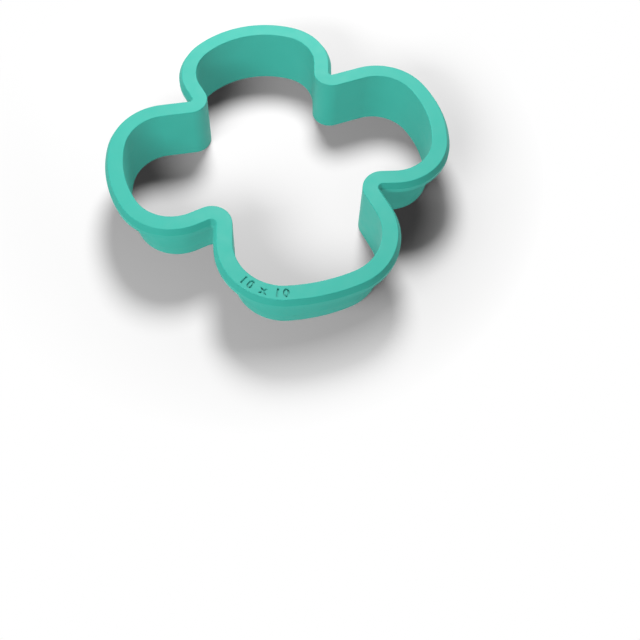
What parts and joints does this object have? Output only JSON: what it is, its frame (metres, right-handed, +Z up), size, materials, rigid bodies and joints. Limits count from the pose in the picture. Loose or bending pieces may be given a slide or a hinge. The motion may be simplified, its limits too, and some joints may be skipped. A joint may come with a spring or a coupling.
{
  "type": "cookie cutter",
  "caption": "Rounded cross-shaped plastic cookie cutter with a wide flat grip rim on top and a thin upright wall tapering to a cutting edge.",
  "frame": {"origin": "centre of the outline at the bottom of the cutting edge, on the table", "axes": "+Z up through the opening, -Y towards the wide front lobe, +Y towards the narrow back lobe, +X to the right lobe"},
  "size_m": [0.1134, 0.1136, 0.0217],
  "materials": {
    "rim_plastic": "smooth satin, turquoise",
    "wall_plastic": "smooth satin, turquoise",
    "edge_plastic": "smooth satin, turquoise"
  },
  "bodies": {
    "root": {"grip_rim": "rim_plastic", "wall": "wall_plastic", "cutting_edge": "edge_plastic"}
  },
  "joints": []
}
